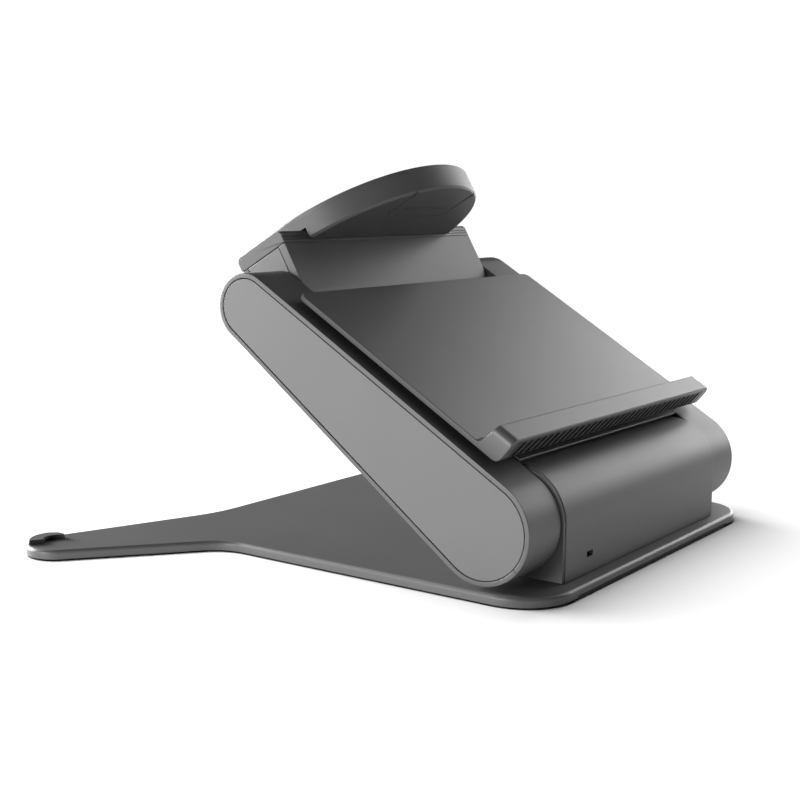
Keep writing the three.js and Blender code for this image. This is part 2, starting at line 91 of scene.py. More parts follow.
FLOOR = Bench((0, lower_hinge.y, 0))
HINGE = Bench(lower_hinge)
ARM = Bench(lower_hinge, -arm_slope)
DECK = Bench(lower_hinge, -deck_slope)
BELLY = Bench(lower_hinge, deck_slope - 2 * arm_slope)
HEAD = Bench(upper_hinge, head_tilt)

# Sizes that several assemblies share, in millimetres.
CLEARANCE = 0.3
LOWER_AXLE, UPPER_AXLE = 8, 6
PUSHROD = 2.2


# ---- outlines ------------------------------------------------------------------------------------
def arc(x, y, radius, start, sweep, step=math.radians(4), count=None):
    """Points along an arc, ends included, a step apart or in a set count of spans."""
    count = count or max(2, math.ceil(abs(sweep) / step))
    angles = [start + sweep * i / count for i in range(count + 1)]
    return [(x + radius * math.cos(a), y + radius * math.sin(a)) for a in angles]


def outline(corners, count=None):
    """Closed outline through (x, y, radius) corners, each rounded by its own arc."""
    points = []
    for i, (x, y, radius) in enumerate(corners):
        corner = Vector((x, y))
        back = (Vector(corners[i - 1][:2]) - corner).normalized()
        ahead = (Vector(corners[(i + 1) % len(corners)][:2]) - corner).normalized()
        turn = back.x * ahead.y - back.y * ahead.x
        if radius == 0:
            points.append((x, y))
            continue
        half = back.angle(ahead) / 2
        start = corner + back * radius / math.tan(half)
        centre = corner + (back + ahead).normalized() * radius / math.sin(half)
        spoke = start - centre
        sweep = (math.pi - 2 * half) * (-1 if turn > 0 else 1)
        points += arc(*centre, radius, math.atan2(spoke.y, spoke.x), sweep, math.radians(9), count)
    return points


def inset(points, distance, weights=None):
    """The outline moved inward along its mitres; a weight scales a point's own move."""
    area = sum(a[0] * b[1] - b[0] * a[1] for a, b in zip(points, points[1:] + points[:1]))
    side = math.copysign(1, area)
    moved = []
    for i, point in enumerate(points):
        here = Vector(point)
        before = (here - Vector(points[i - 1])).normalized()
        after = (Vector(points[(i + 1) % len(points)]) - here).normalized()
        inward = Vector((-before.y - after.y, before.x + after.x)) * side
        inward /= max(0.2, inward.length_squared / 2)
        share = weights[i] if weights else 1
        moved.append(tuple(here + inward * distance * share))
    return moved


def arch(radius, reach):
    """Half circle over two straight sides that run to reach."""
    turn = -math.copysign(math.pi, reach)
    return [(-radius, reach), (radius, reach), *arc(0, 0, radius, 0, turn)]


def horseshoe(outer, inner, reach):
    """Bent wall between two arches, open at its foot."""
    turn = -math.copysign(math.pi, reach)
    over = arc(0, 0, outer, 0, turn)
    under = arc(0, 0, inner, turn, -turn)
    return [(outer, reach), *over, (-outer, reach), (-inner, reach), *under, (inner, reach)]


# ---- solids --------------------------------------------------------------------------------------
ALONG_X = Matrix(((0, 0, 1, 0), (1, 0, 0, 0), (0, 1, 0, 0), (0, 0, 0, 1)))
ALONG_Y = Matrix(((1, 0, 0, 0), (0, 0, 1, 0), (0, 1, 0, 0), (0, 0, 0, 1)))
AGAINST_Y = Matrix(((1, 0, 0, 0), (0, 0, -1, 0), (0, 1, 0, 0), (0, 0, 0, 1)))
ALONG_Z = Matrix.Identity(4)
EDGE_STEPS = 4


def loft(rings, along=ALONG_Z, ring_shaped=False):
    """Skin through rings of equal count: capped at both ends, or closed round on itself."""
    count = len(rings[0])
    points = [along @ Vector(point) for ring in rings for point in ring]
    faces = []
    spans = len(rings) if ring_shaped else len(rings) - 1
    for k in range(spans):
        low, high = k * count, (k + 1) % len(rings) * count
        for i in range(count):
            j = (i + 1) % count
            faces.append((low + i, low + j, high + j, high + i))
    if not ring_shaped:
        faces.append(tuple(range(count)))
        faces.append(tuple(range(len(points) - count, len(points))))
    return closed_mesh(points, faces)


def closed_mesh(points, faces):
    mesh = bpy.data.meshes.new("form")
    mesh.from_pydata(points, [], faces)
    made = bmesh.new()
    made.from_mesh(mesh)
    bmesh.ops.remove_doubles(made, verts=made.verts, dist=1e-5)
    bmesh.ops.recalc_face_normals(made, faces=made.faces)
    made.to_mesh(mesh)
    made.free()
    return mesh


def rounded_edges(low, high, low_edge, high_edge):
    """(inset, height) steps from one cap to the other, with a quarter round at each."""
    quarter = [math.pi / 2 * i / EDGE_STEPS for i in range(EDGE_STEPS + 1)]
    start = [(low_edge * (1 - math.sin(a)), low + low_edge * (1 - math.cos(a))) for a in quarter]
    end = [(high_edge * (1 - math.cos(a)), high - high_edge * (1 - math.sin(a))) for a in quarter]
    steps = (start if low_edge else [(0, low)]) + (end if high_edge else [(0, high)])
    return steps


def prism(points, section, along=ALONG_Z, weights=None, ring_shaped=False):
    """One outline carried through (inset, height) steps."""
    rings = [[(*p, height) for p in inset(points, move, weights)] for move, height in section]
    return loft(rings, along, ring_shaped)


def block(x, y, z, edge=0.0):
    """Block between two values on each axis, with rounded corners."""
    plan = outline([(x[1], y[0], edge), (x[1], y[1], edge), (x[0], y[1], edge), (x[0], y[0], edge)])
    return prism(plan, rounded_edges(z[0], z[1], edge * 0.9, edge * 0.9))


def circle(radius, x=0.0, y=0.0, sides=64):
    return arc(x, y, radius, 0, 2 * math.pi, 2 * math.pi / sides)[:-1]


def bar(radius, low, high, x=0.0, y=0.0, along=ALONG_Z, edge=0.3, sides=64):
    return prism(circle(radius, x, y, sides), rounded_edges(low, high, edge, edge), along)


def tube(outer, inner, low, high, x=0.0, y=0.0, along=ALONG_Z, edge=0.25):
    """Round tube with softened rims."""
    wall = outer - inner
    section = [(0, low + edge), (0, high - edge), (edge, high), (wall - edge, high),
               (wall, high - edge), (wall, low + edge), (wall - edge, low), (edge, low)]
    return prism(circle(outer, x, y), section, along, ring_shaped=True)


def combined(body, others, operation="DIFFERENCE"):
    """Body cut by, joined to or kept inside the other forms."""
    tools = [bpy.data.objects.new("tool", other) for other in others]
    work = bpy.data.objects.new("work", body)
    for item in [work, *tools]:
        bpy.context.scene.collection.objects.link(item)
    for tool in tools:
        step = work.modifiers.new("step", "BOOLEAN")
        step.operation = operation
        step.solver = "EXACT"
        step.object = tool
    depsgraph = bpy.context.evaluated_depsgraph_get()
    result = bpy.data.meshes.new_from_object(work.evaluated_get(depsgraph))
    for item in [work, *tools]:
        bpy.data.objects.remove(item)
    return result


def gathered(forms):
    """Separate forms as one mesh."""
    whole = bmesh.new()
    for form in forms:
        whole.from_mesh(form)
    mesh = bpy.data.meshes.new("form")
    whole.to_mesh(mesh)
    whole.free()
    return mesh


# ---- pieces --------------------------------------------------------------------------------------
home = {node: body for body, nodes in frame["record"]["behaviour"]["bodies"].items() for node in nodes}
SHARP = math.radians(32)


def smooth(obj):
    obj.data.shade_smooth()
    obj.data.set_sharp_from_angle(angle=SHARP)
    weighted = obj.modifiers.new("even_normals", "WEIGHTED_NORMAL")
    weighted.keep_sharp = True
    weighted.weight = 90


def make(node, form, bench, finish, flip=False):
    """The finished piece that stands for a CAD node, on that node's body and with the given finish."""
    mesh = form.copy()
    mesh.transform(bench.matrix)
    if flip:
        mesh.transform(Matrix.Scale(-1, 4, (1, 0, 0)))
        mesh.flip_normals()
    mesh.materials.clear()
    mesh.materials.append(finish)
    piece = bpy.data.objects.new(f"{node}_fine", mesh)
    bpy.context.scene.collection.objects.link(piece)
    smooth(piece)
    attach(piece, home[node])
    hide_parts(node)
    return piece


def make_pair(name, form, bench, finish):
    """A right-hand piece and its mirror image."""
    make(f"{name}_right", form, bench, finish)
    make(f"{name}_left", form, bench, finish, flip=True)


def keep(node, finish, edge=0.25):
    """A CAD node that stays, with softened edges and its finish."""
    obj = frame["nodes"][node]
    obj.data.materials.clear()
    obj.data.materials.append(finish)
    soften = obj.modifiers.new("soft_edges", "BEVEL")
    soften.width = edge * MM
    soften.segments = 2
    soften.limit_method = "ANGLE"
    soften.angle_limit = math.radians(40)
    smooth(obj)


# ---- finishes ------------------------------------------------------------------------------------
class Wire:
    """A socket that adds Math nodes when it is used in an expression."""

    def __init__(self, finish, socket):
        self.finish = finish
        self.socket = socket

    def __add__(self, other):
        return self.finish.math("ADD", self, other)

    def __mul__(self, other):
        return self.finish.math("MULTIPLY", self, other)

    __radd__ = __add__
    __rmul__ = __mul__


class Finish:
    """A node material under construction."""

    def __init__(self, name):
        self.material = bpy.data.materials.new(name)
        self.material.use_nodes = True
        self.tree = self.material.node_tree
        self.tree.nodes.clear()

    def node(self, kind, output, settings=None, sockets=None):
        """A node with its settings, then its sockets' values or links; gives one output, if any."""
        made = self.tree.nodes.new(kind)
        for name, value in (settings or {}).items():
            if name == "stops":
                for stop, (place, grey) in zip(made.color_ramp.elements, value):
                    stop.position = place
                    stop.color = (grey, grey, grey, 1)
            else:
                setattr(made, name, value)
        for name, value in (sockets or {}).items():
            socket = made.inputs[name]
            if isinstance(value, Wire):
                self.tree.links.new(value.socket, socket)
            else:
                socket.default_value = value
        return None if output is None else Wire(self, made.outputs[output])

    def math(self, operation, first, second):
        return self.node("ShaderNodeMath", 0, {"operation": operation}, {0: first, 1: second})

    def place(self, stretch):
        """The piece's own coordinates in metres, squeezed along an axis if asked."""
        spot = self.node("ShaderNodeTexCoord", "Object")
        return self.node("ShaderNodeMapping", "Vector", {}, {"Vector": spot, "Scale": stretch})

    def noise(self, size_mm, detail, roughness, stretch=(1, 1, 1)):
        """Soft random relief of one size, from 0 to 1."""
        sockets = {"Vector": self.place(stretch), "Scale": 1 / (size_mm * MM), "Detail": detail,
                   "Roughness": roughness}
        return self.node("ShaderNodeTexNoise", "Fac", {}, sockets)

    def tint(self, share, dark, light):
        """Colour that moves between two as share goes from 0 to 1."""
        factor, first, second, result = 0, 6, 7, 2
        sockets = {factor: share, first: (*dark, 1), second: (*light, 1)}
        return self.node("ShaderNodeMix", result, {"data_type": "RGBA"}, sockets)

    def bump(self, height, depth_mm, strength):
        sockets = {"Height": height, "Distance": depth_mm * MM, "Strength": strength}
        return self.node("ShaderNodeBump", "Normal", {}, sockets)

    def finished(self, sockets):
        skin = self.node("ShaderNodeBsdfPrincipled", "BSDF", {}, sockets)
        self.node("ShaderNodeOutputMaterial", None, {}, {"Surface": skin})
        return self.material


def satin_moulding(name, shade, gloss, grain_mm=0.35):
    """Fine-textured dark moulding: even colour, a tight spark-eroded grain and soft patches of gloss."""
    finish = Finish(name)
    grain = finish.noise(grain_mm, 3, 0.6)
    patches = finish.noise(38, 2, 0.5)
    darker = [value * 0.93 for value in shade]
    lighter = [value * 1.07 for value in shade]
    return finish.finished({
        "Base Color": finish.tint(0.55 * patches + 0.45 * grain, darker, lighter),
        "Roughness": gloss + 0.06 * patches + 0.05 * grain,
        "Normal": finish.bump(grain, 0.012, 0.5),
        "Specular IOR Level": 0.5,
    })


def powder_coat(name, shade, gloss):
    """Baked satin coat on sheet steel: a slow orange-peel swell under a very fine grit."""
    finish = Finish(name)
    grit = finish.noise(0.28, 3, 0.6)
    swell = finish.noise(2.4, 1, 0.4)
    clouds = finish.noise(60, 2, 0.5)
    darker = [value * 0.92 for value in shade]
    lighter = [value * 1.08 for value in shade]
    return finish.finished({
        "Base Color": finish.tint(0.6 * clouds + 0.4 * grit, darker, lighter),
        "Roughness": gloss + 0.05 * clouds + 0.06 * grit,
        "Normal": finish.bump(0.7 * grit + 0.5 * swell, 0.014, 0.5),
        "Specular IOR Level": 0.55,
    })


def soft_rubber(name):
    """Matt moulded rubber with a dusty bloom."""
    finish = Finish(name)
    pores = finish.noise(0.5, 3, 0.7)
    bloom = finish.noise(9, 2, 0.5)
    return finish.finished({
        "Base Color": finish.tint(bloom, (0.012, 0.012, 0.013), (0.024, 0.024, 0.025)),
        "Roughness": 0.74 + 0.14 * bloom,
        "Normal": finish.bump(pores, 0.02, 0.6),
        "Specular IOR Level": 0.4,
    })


def drawn_steel(name, shade, gloss):
    """Plated steel with fine lines along X from drawing or turning."""
    finish = Finish(name)
    lines = finish.noise(0.4, 3, 0.6, stretch=(0.03, 1, 1))
    film = finish.noise(14, 2, 0.5)
    darker = [value * 0.82 for value in shade]
    return finish.finished({
        "Base Color": finish.tint(0.5 * lines + 0.5 * film, darker, shade),
        "Metallic": 1.0,
        "Roughness": gloss + 0.12 * lines,
        "Normal": finish.bump(lines, 0.006, 0.5),
    })


def cast_metal(name, shade, gloss):
    """As-cast skin: coarse sand-like bumps with small dark pits."""
    finish = Finish(name)
    skin = finish.noise(1.1, 4, 0.65)
    pits = finish.node("ShaderNodeValToRGB", "Color", {"stops": [(0.30, 0.0), (0.42, 1.0)]},
                       {"Fac": finish.noise(2.2, 3, 0.6)})
    darker = [value * 0.6 for value in shade]
    return finish.finished({
        "Base Color": finish.tint(pits, darker, shade),
        "Metallic": 1.0,
        "Roughness": gloss + 0.15 * skin,
        "Normal": finish.bump(skin, 0.05, 0.5),
    })


moulding = satin_moulding("satin_moulding", (0.086, 0.086, 0.088), 0.42)
# Same plastic as the moulding above, painted lighter: painted light standing for the side light that the arm
# covers and neck side panels catch.
sidelit_moulding = satin_moulding("sidelit_moulding", (0.112, 0.112, 0.114), 0.44, 0.3)
dark_moulding = satin_moulding("dark_moulding", (0.03, 0.03, 0.031), 0.48, 0.4)
coat = powder_coat("powder_coat", (0.086, 0.086, 0.088), 0.38)
rubber = soft_rubber("foot_rubber")
steel = drawn_steel("plated_steel", (0.56, 0.56, 0.57), 0.26)
alloy = cast_metal("cast_alloy", (0.55, 0.55, 0.56), 0.42)
bronze = drawn_steel("bush_bronze", (0.55, 0.38, 0.18), 0.34)


# ---- base ----------------------------------------------------------------------------------------
plate_low, plate_high = FLOOR.span("base_plate")
PLATE_HALF = 137
LEG_TIP = (199, -243)
LEG_TIP_RADIUS = 18
LEG_FRONT_SPLAY = math.radians(19)
LEG_REAR_SPLAY = math.radians(38.4)
CROTCH = -223.4
CROTCH_CORNER, HIP_CORNER, REAR_CORNER = 90, 26, 30
PLATE_EDGE, PLATE_UNDER_EDGE = 2.1, 0.5
SCREW_X, SCREW_Y = 66, 13
SCREW_SPOTS = [(side * SCREW_X, end * SCREW_Y) for side in (-1, 1) for end in (-1, 1)]
SCREW_SHANK, SCREW_HEAD, SCREW_HEAD_HEIGHT = 2, 4, 2.7
SCREW_SOCKET, SCREW_SOCKET_DEPTH = 1.3, 1.4
PAD_RADIUS = 9
PAD_RINGS = (3, 5.6)
BUMPER_INNER, BUMPER_OUTER = 8, 16.4


def around_tip(angle, reach):
    return (LEG_TIP[0] + reach * math.cos(angle), LEG_TIP[1] + reach * math.sin(angle))


def plate_outline():
    front_touch = -math.pi / 2 - LEG_FRONT_SPLAY
    rear_touch = math.pi / 2 - LEG_REAR_SPLAY
    tip = arc(*LEG_TIP, LEG_TIP_RADIUS, front_touch, rear_touch - front_touch)
    crotch_x = tip[0][0] - (CROTCH - tip[0][1]) / math.tan(LEG_FRONT_SPLAY)
    hip_y = tip[-1][1] + (tip[-1][0] - PLATE_HALF) * math.tan(LEG_REAR_SPLAY)
    right = [(crotch_x, CROTCH, CROTCH_CORNER), *[(x, y, 0) for x, y in tip],
             (PLATE_HALF, hip_y, HIP_CORNER), (PLATE_HALF, plate_high.y, REAR_CORNER)]
    left = [(-x, y, radius) for x, y, radius in reversed(right)]
    return outline([*right, *left])


def base_plate():
    body = prism(plate_outline(), rounded_edges(plate_low.z, plate_high.z, PLATE_UNDER_EDGE, PLATE_EDGE))
    strip_low, strip_high = FLOOR.span("rear_foot_strip")
    recess = block((strip_low.x - CLEARANCE, strip_high.x + CLEARANCE),
                   (strip_low.y - CLEARANCE, strip_high.y + 12), (-1, strip_high.z + CLEARANCE))
    pads = []
    for node in ("leg_foot_right", "leg_foot_left", "front_foot_right", "front_foot_left"):
        low, high = FLOOR.span(node)
        middle = (low + high) / 2
        pads.append(bar(PAD_RADIUS + CLEARANCE, -1, high.z + CLEARANCE, middle.x, middle.y, edge=0))
    holes = [bar(SCREW_SHANK + CLEARANCE, -1, 12, x, y, edge=0) for x, y in SCREW_SPOTS]
    return combined(body, [recess, gathered(pads + holes)])


def leg_bumper():
    """Raised crescent on the leg's tip, blunt at its outer end and thin at its inner one."""
    blunt, shoulder, taper = math.radians(-31), math.radians(-112), math.radians(-158)
    points = arc(*LEG_TIP, BUMPER_INNER, taper, blunt - taper)
    points += arc(*LEG_TIP, BUMPER_OUTER, blunt, shoulder - blunt)
    points += [around_tip(math.radians(-132), 14.6), around_tip(math.radians(-148), 11.6)]
    low, high = FLOOR.span("leg_bumper_right")
    return prism(points, rounded_edges(low.z, high.z, 0, 0.7))


def foot_pad(node):
    low, high = FLOOR.span(node)
    middle = (low + high) / 2
    body = bar(PAD_RADIUS, low.z, high.z, middle.x, middle.y, edge=0.5)
    rings = [tube(radius + 0.5, radius - 0.5, -1, low.z + 0.25, middle.x, middle.y, edge=0.1)
             for radius in PAD_RINGS]
    return combined(body, [gathered(rings)])


make("base_plate", base_plate(), FLOOR, coat)
for side in ("right", "left"):
    for name in ("leg_foot", "front_foot"):
        make(f"{name}_{side}", foot_pad(f"{name}_{side}"), FLOOR, rubber)
make_pair("leg_bumper", leg_bumper(), FLOOR, rubber)
keep("rear_foot_strip", rubber, 0.35)


# ---- hinge housing -------------------------------------------------------------------------------
housing_low, housing_high = HINGE.span("hinge_housing")
HOUSING_RADIUS = housing_high.z
HOUSING_WALL = 2.4
LOCK_SLOT_X, LOCK_SLOT_Z = 69.7, -19.9
LOCK_SLOT_WIDTH, LOCK_SLOT_HEIGHT = 7, 3.2
BUSH_RADIUS = 11


def slot_cutter():
    """Rounded lock slot, pushed through the rear wall."""
    plan = outline([
        (LOCK_SLOT_X + side * LOCK_SLOT_WIDTH / 2, LOCK_SLOT_Z + end * LOCK_SLOT_HEIGHT / 2, 0.5)
        for side, end in ((1, -1), (1, 1), (-1, 1), (-1, -1))])
    return prism(plan, [(0, 20), (0, 40)], ALONG_Y)


def hinge_housing():
    wall = horseshoe(HOUSING_RADIUS, HOUSING_RADIUS - HOUSING_WALL, housing_low.z)
    shell = prism(wall, rounded_edges(housing_low.x, housing_high.x, 0.4, 0.4), ALONG_X)
    return combined(shell, [slot_cutter()])


def housing_cheek():
    low, high = HINGE.span("housing_cheek_right")
    slab = prism(arch(high.z, low.z), rounded_edges(low.x, high.x, 0.2, 0.5), ALONG_X)
    return combined(slab, [bar(LOWER_AXLE + CLEARANCE, 90, 110, along=ALONG_X, edge=0)])


def lock_plate():
    low, high = HINGE.span("lock_slot_plate")
    return combined(block((low.x, high.x), (low.y, high.y), (low.z, high.z), 0.4), [slot_cutter()])


make("hinge_housing", hinge_housing(), HINGE, moulding)
make_pair("housing_cheek", housing_cheek(), HINGE, moulding)
make("lock_slot_plate", lock_plate(), HINGE, steel)
for side in ("right", "left"):
    keep(f"hinge_bracket_{side}", steel)
    low, high = HINGE.span(f"bracket_bush_{side}")
    bush = tube(BUSH_RADIUS, LOWER_AXLE + CLEARANCE, low.x, high.x, along=ALONG_X)
    make(f"bracket_bush_{side}", bush, HINGE, bronze)


def bracket_screw(node):
    """Button-head screw with a hexagon socket."""
    low, high = FLOOR.span(node)
    middle = (low + high) / 2
    head_low = high.z - SCREW_HEAD_HEIGHT
    shank = bar(SCREW_SHANK, low.z, head_low + 0.5, middle.x, middle.y, edge=0.4)
    dome = prism(circle(SCREW_HEAD, middle.x, middle.y), [(0, head_low), (0, head_low + 0.9),
                 (0.25, head_low + 1.6), (0.8, head_low + 2.2), (1.7, high.z)])
    socket_low = high.z - SCREW_SOCKET_DEPTH
    socket = bar(SCREW_SOCKET, socket_low, high.z + 1, middle.x, middle.y, edge=0, sides=6)
    return combined(combined(shank, [dome], "UNION"), [socket])


for i in range(len(SCREW_SPOTS)):
    make(f"bracket_screw_{i + 1}", bracket_screw(f"bracket_screw_{i + 1}"), FLOOR, steel)


def torsion_spring(node, turns=5, wire=1.3, sides=12, per_turn=40):
    """Round wire wound about the hinge axis, its ends cut square."""
    low, high = HINGE.span(node)
    middle_radius = high.z - wire
    run = (low.x + wire, high.x - wire)
    rings = []
    for i in range(turns * per_turn + 1):
        share = i / (turns * per_turn)
        angle = 2 * math.pi * turns * share
        spoke = Vector((0, math.cos(angle), math.sin(angle)))
        centre = spoke * middle_radius + Vector((run[0] + (run[1] - run[0]) * share, 0, 0))
        ring = [2 * math.pi * k / sides for k in range(sides)]
        rings.append([centre + (spoke * math.cos(a) + Vector((1, 0, 0)) * math.sin(a)) * wire
                      for a in ring])
    return loft(rings)


for side in ("right", "left"):
    make(f"torsion_spring_{side}", torsion_spring(f"torsion_spring_{side}"), HINGE, steel)


# ---- arms ----------------------------------------------------------------------------------------
ARM_LENGTH = rise.length / MM
shell_low, shell_high = ARM.span("arm_shell_lower_right")
LOWER_RADIUS = shell_high.y
UPPER_RADIUS = -shell_low.y - ARM_LENGTH
TAPER = math.asin((LOWER_RADIUS - UPPER_RADIUS) / ARM_LENGTH)
ARM_INNER, ARM_OUTER = shell_low.x, shell_high.x
RIM = 2.7
SEAM_TOP = shell_high.z
SEAM_GAP = 0.3
PAN_FLOOR = 2.4
COVER_GAP = 0.45
BEAM_INSET = 7.5
BEAM_HOLES = (-52, -84, -114, -142)
COLLAR_RADIUS = 14
BRIDGE_SPOT = -98


def arm_outline(cutback):
    """Two unlike round ends joined by straight flanks."""
    touch = math.pi / 2 + TAPER
    return [
        *arc(0, 0, LOWER_RADIUS - cutback, -touch, 2 * touch, math.radians(3)),
        *arc(-ARM_LENGTH, 0, UPPER_RADIUS - cutback, touch, 2 * (math.pi - touch), math.radians(3)),
    ]


def axle_bores():
    lower = bar(LOWER_AXLE + CLEARANCE, 90, 127, along=ALONG_X, edge=0)
    upper = bar(UPPER_AXLE + CLEARANCE, 90, 127, -ARM_LENGTH, 0, ALONG_X, 0)
    return gathered([lower, upper])


def arm_shell(upper_half):
    """Half of the arm's pan: a rim round an inner wall, parted along the seam."""
    floor = ARM_INNER + PAN_FLOOR
    outside = [(0.7, ARM_INNER), (0.2, ARM_INNER + 0.2), (0, ARM_INNER + 0.7), (0, ARM_OUTER - 0.6),
               (0.18, ARM_OUTER - 0.18), (0.6, ARM_OUTER)]
    inside = [(RIM - 0.25, ARM_OUTER), (RIM, ARM_OUTER - 0.25), (RIM, floor)]
    pan = prism(arm_outline(0), outside + inside, ALONG_X)
    if upper_half:
        part = block((90, 140), (-240, 60), (SEAM_TOP + SEAM_GAP, 60))
    else:
        part = block((90, 140), (-240, 60), (-60, SEAM_TOP))
    return combined(combined(pan, [axle_bores()]), [part], "INTERSECT")


def arm_cover():
    low, high = ARM.span("arm_cover_right")
    return prism(arm_outline(RIM + COVER_GAP), rounded_edges(low.x, high.x, 0.3, 0.3), ALONG_X)


def arm_beam():
    low, high = ARM.span("arm_beam_right")
    beam = prism(arm_outline(BEAM_INSET), rounded_edges(low.x, high.x, 0.8, 0.8), ALONG_X)
    holes = [bar(8.5 + y / 60, 90, 140, y, 0, ALONG_X, 0) for y in BEAM_HOLES]
    return combined(beam, [axle_bores(), gathered(holes)])


make_pair("arm_shell_upper", arm_shell(True), ARM, moulding)
make_pair("arm_shell_lower", arm_shell(False), ARM, moulding)
# The arm covers are painted lighter than the shells, as painted light for the side light on them.
make_pair("arm_cover", arm_cover(), ARM, sidelit_moulding)
make_pair("arm_beam", arm_beam(), ARM, alloy)


def axle(node, radius, along_arm=0.0):
    low, high = ARM.span(node)
    return bar(radius, low.x, high.x, along_arm, 0, ALONG_X, 0.6)


make("lower_axle", axle("lower_axle", LOWER_AXLE), ARM, steel)
make("upper_axle", axle("upper_axle", UPPER_AXLE, -ARM_LENGTH), ARM, steel)
for side in ("right", "left"):
    keep(f"axle_nut_{side}", steel)
    low, high = ARM.span(f"spring_collar_{side}")
    collar = tube(COLLAR_RADIUS, LOWER_AXLE + CLEARANCE, low.x, high.x, along=ALONG_X)
    make(f"spring_collar_{side}", collar, ARM, alloy)
low, high = ARM.span("bridge_tube")
make("bridge_tube", tube(9, 7.5, low.x, high.x, BRIDGE_SPOT, 0, ALONG_X), ARM, steel)
for node, bench in (("bridge_top_panel", DECK), ("bridge_bottom_panel", BELLY)):
    low, high = bench.span(node)
    make(node, block((low.x, high.x), (low.y, high.y), (low.z, high.z), 0.5), bench, coat)


# ---- tray ----------------------------------------------------------------------------------------
tray_low, tray_high = DECK.span("rear_tray")
grille_low, grille_high = DECK.span("lip_grille")
TRAY_HALF = tray_high.x
SHEET = 3
TRAY_BOTTOM = tray_low.z
TRAY_TOP = TRAY_BOTTOM + SHEET
LIP_TOP = tray_high.z
LIP_REAR = -12
LIP_FRONT = -25
LIP_SLOPE = 3.6
LIP_END_ROUND = 4.6
TRAY_CORNER = 5
TRAY_END_STEPS = [0.8, 1.2, 1.7, 2.3, 3.0, 3.8, 4.6, 5.0]
PROFILE_STEPS = 8
VENT_COUNT = 32
VENT_LEAN = -4
VENT_BORDER = 1.1
VENT_MARGIN = 4
VENT_SHARE = 0.3
VENT_SPREAD = 0.985
VENT_CORNER = 0.9
GRILLE_DEPTH = 1.6
GRILLE_SINK = 0.15
SPACER_COUNT, SPACER_RADIUS = 4, 5


def drawn_back(radius, from_end):
    """How far a corner of this radius draws back at a distance in from the end."""
    return radius - math.sqrt(max(0, radius ** 2 - max(0, radius - from_end) ** 2))


def tray_profile(from_end):
    """The folded sheet's profile at a distance in from its end, where its corners draw back."""
    top = LIP_TOP - drawn_back(LIP_END_ROUND, from_end)
    far = tray_low.y + drawn_back(TRAY_CORNER, from_end)
    return outline([
        (far, TRAY_BOTTOM, 0.5), (LIP_REAR - 2, TRAY_BOTTOM, 4.5), (LIP_REAR, top, 1.2),
        (LIP_FRONT, top, 1), (LIP_FRONT - LIP_SLOPE, TRAY_TOP, 4), (far, TRAY_TOP, 0.5)], PROFILE_STEPS)


def rear_tray():
    edge = 0.5
    steps = [(edge * (1 - math.sin(a)), edge * (1 - math.cos(a)))
             for a in (0, math.pi / 6, math.pi / 3, math.pi / 2)]
    ends = steps + [(0, depth) for depth in TRAY_END_STEPS]
    rings = [[(*p, -TRAY_HALF + depth) for p in inset(tray_profile(depth), move)]
             for move, depth in ends]
    rings += [[(*p, TRAY_HALF - depth) for p in inset(tray_profile(depth), move)]
              for move, depth in reversed(ends)]
    channel = block((grille_low.x - CLEARANCE, grille_high.x + CLEARANCE), (LIP_FRONT + SHEET, 0),
                    (grille_low.z - CLEARANCE, grille_high.z + CLEARANCE))
    return combined(loft(rings, ALONG_X), [channel])


def lip_grille():
    """Insert flush with the lip's open side, cut by a row of slanted slots."""
    low, high = grille_low, grille_high
    pitch = (2 * (high.x + CLEARANCE) - VENT_MARGIN) / VENT_COUNT
    tall = high.z - low.z - 2 * VENT_BORDER
    wide, lean = VENT_SHARE * pitch, VENT_LEAN / 2
    slot = [(-wide - lean, 0), (wide - lean, 0), (wide + lean, tall), (-wide + lean, tall)]
    plan = outline([(x, z, VENT_CORNER) for x, z in slot])
    slots_cut = []
    for i in range(VENT_COUNT):
        spot = (i - (VENT_COUNT - 1) / 2) * pitch * VENT_SPREAD
        place = [(x + spot, z + low.z + VENT_BORDER) for x, z in plan]
        slots_cut.append(prism(place, [(0, 8), (0, 20)], AGAINST_Y))
    insert = block((low.x, high.x), (high.y - GRILLE_DEPTH, high.y + 1), (low.z, high.z), 0.2)
    sunk = [(y - GRILLE_SINK, z) for y, z in tray_profile(TRAY_HALF)]
    flush = prism(sunk, [(0, low.x), (0, high.x)], ALONG_X)
    return combined(combined(insert, [flush], "INTERSECT"), [gathered(slots_cut)])


make("rear_tray", rear_tray(), DECK, coat)
make("lip_grille", lip_grille(), DECK, dark_moulding)
for i in range(SPACER_COUNT):
    low, high = DECK.span(f"tray_spacer_{i + 1}")
    middle = (low + high) / 2
    spacer = bar(SPACER_RADIUS, low.z, high.z, middle.x, middle.y)
    make(f"tray_spacer_{i + 1}", spacer, DECK, dark_moulding)


# ---- neck ----------------------------------------------------------------------------------------
neck_high = HEAD.span("neck_rear_cover")[1]
NECK_DEPTH = neck_high.y
NECK_WALL = 5.2
NECK_TOP = neck_high.z
NECK_HALF = neck_high.x
COVER_SPLIT = 0.15
FRICTION_DISC = 12


def neck_cover(side):
    """Half of the neck's skin: a quarter round under a straight wall."""
    quarter = arc(0, 0, NECK_DEPTH, -math.pi / 2, math.pi / 2)
    inner = arc(0, 0, NECK_DEPTH - NECK_WALL, 0, -math.pi / 2)
    points = [*quarter, (NECK_DEPTH, NECK_TOP), (NECK_DEPTH - NECK_WALL, NECK_TOP), *inner]
    points = [(side * max(y, COVER_SPLIT), z) for y, z in points]
    return prism(points, rounded_edges(-NECK_HALF, NECK_HALF, 0.5, 0.5), ALONG_X)


def neck_side_panel():
    low, high = HEAD.span("neck_side_panel_right")
    slab = prism(arch(high.y, high.z), rounded_edges(low.x, high.x, 0.2, 0.45), ALONG_X)
    return combined(slab, [bar(UPPER_AXLE + CLEARANCE, 90, 110, along=ALONG_X, edge=0)])


